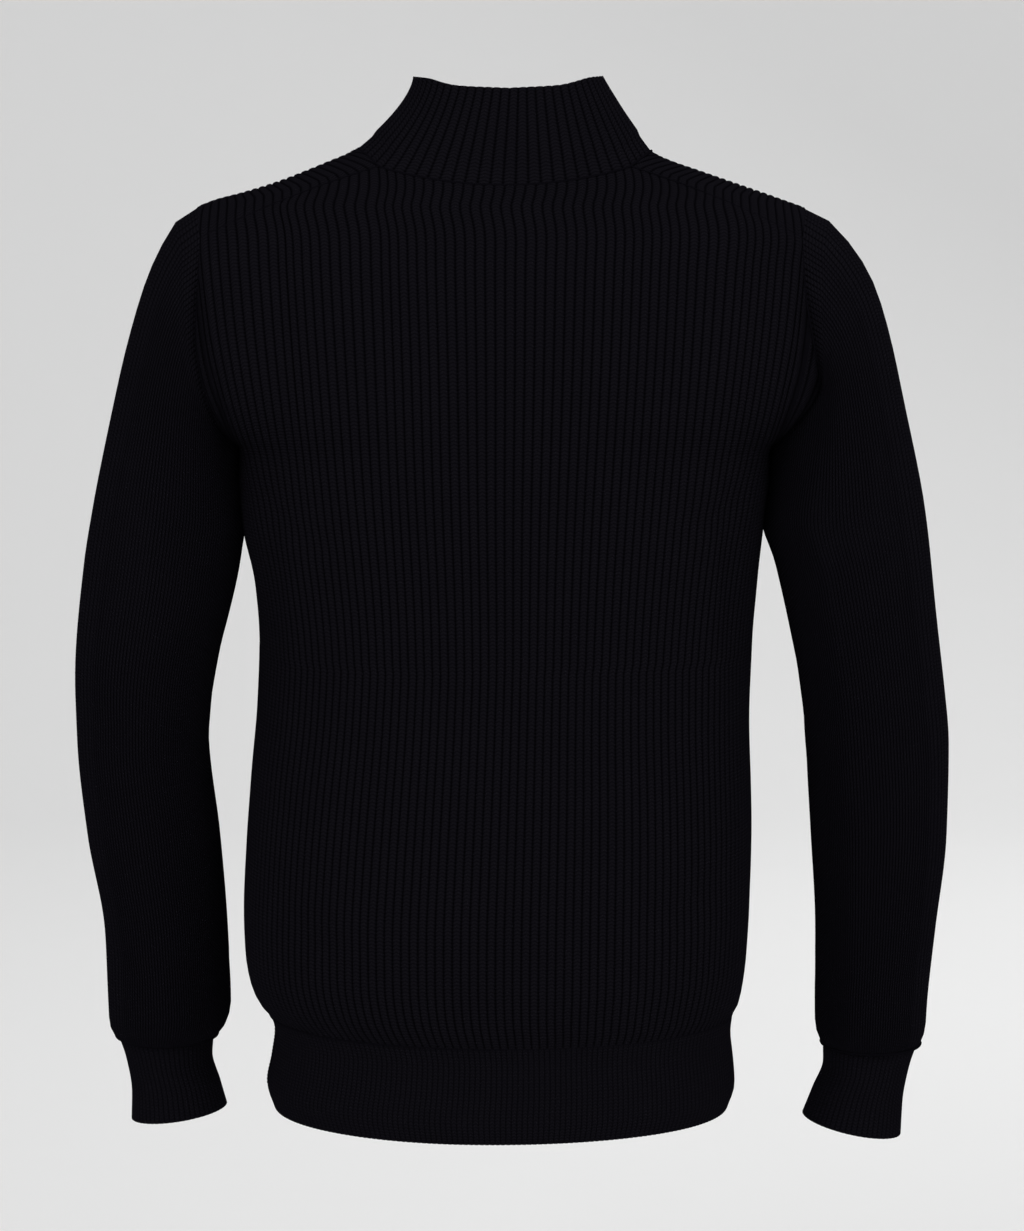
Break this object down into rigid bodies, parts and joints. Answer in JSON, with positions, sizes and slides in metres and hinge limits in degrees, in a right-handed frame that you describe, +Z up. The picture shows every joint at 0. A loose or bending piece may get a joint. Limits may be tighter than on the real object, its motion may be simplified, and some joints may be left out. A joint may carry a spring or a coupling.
{
  "type": "zip-up rib-knit cardigan",
  "caption": "Rib-knit cardigan with a full front zip, stand collar, ribbed hem band and cuffs, in its worn hollow form.",
  "frame": {"origin": "middle of the neck opening at the height of the shoulders, where the worn form holds the garment", "axes": "+Z up, the fronts and the zip face -Y, the wearer's left is +X"},
  "size_m": [0.606, 0.2471, 0.7459],
  "materials": {
    "black_knit": "matt knitted yarn, near-black with a slight blue tint",
    "black_rib": "matt rib-knitted yarn, near-black",
    "black_tape": "woven zip tape",
    "dark_metal": "dark lacquered metal"
  },
  "bodies": {
    "cardigan": {"back": "black_knit", "front_left": "black_knit", "front_right": "black_knit", "upper_sleeve_left": "black_knit", "lower_sleeve_left": "black_knit", "upper_sleeve_right": "black_knit", "lower_sleeve_right": "black_knit", "collar": "black_rib", "hem_back": "black_rib", "hem_front_left": "black_rib", "hem_front_right": "black_rib", "cuff_left": "black_rib", "cuff_right": "black_rib", "zip_tape_left": "black_tape", "zip_tape_right": "black_tape", "zip_chain_left": "dark_metal", "zip_chain_right": "dark_metal", "zip_slider": "dark_metal", "zip_stop_left": "dark_metal", "zip_stop_right": "dark_metal", "zip_box": "dark_metal"},
    "pull_tab": {"zip_pull_tab": "dark_metal"}
  },
  "joints": [
    {"name": "pull_tab_hinge", "type": "hinge", "parent": "cardigan", "child": "pull_tab", "pos_m": [0, -0.08356, -0.01073], "axis": [-1, 0, 0], "range_deg": [0, 150]}
  ]
}
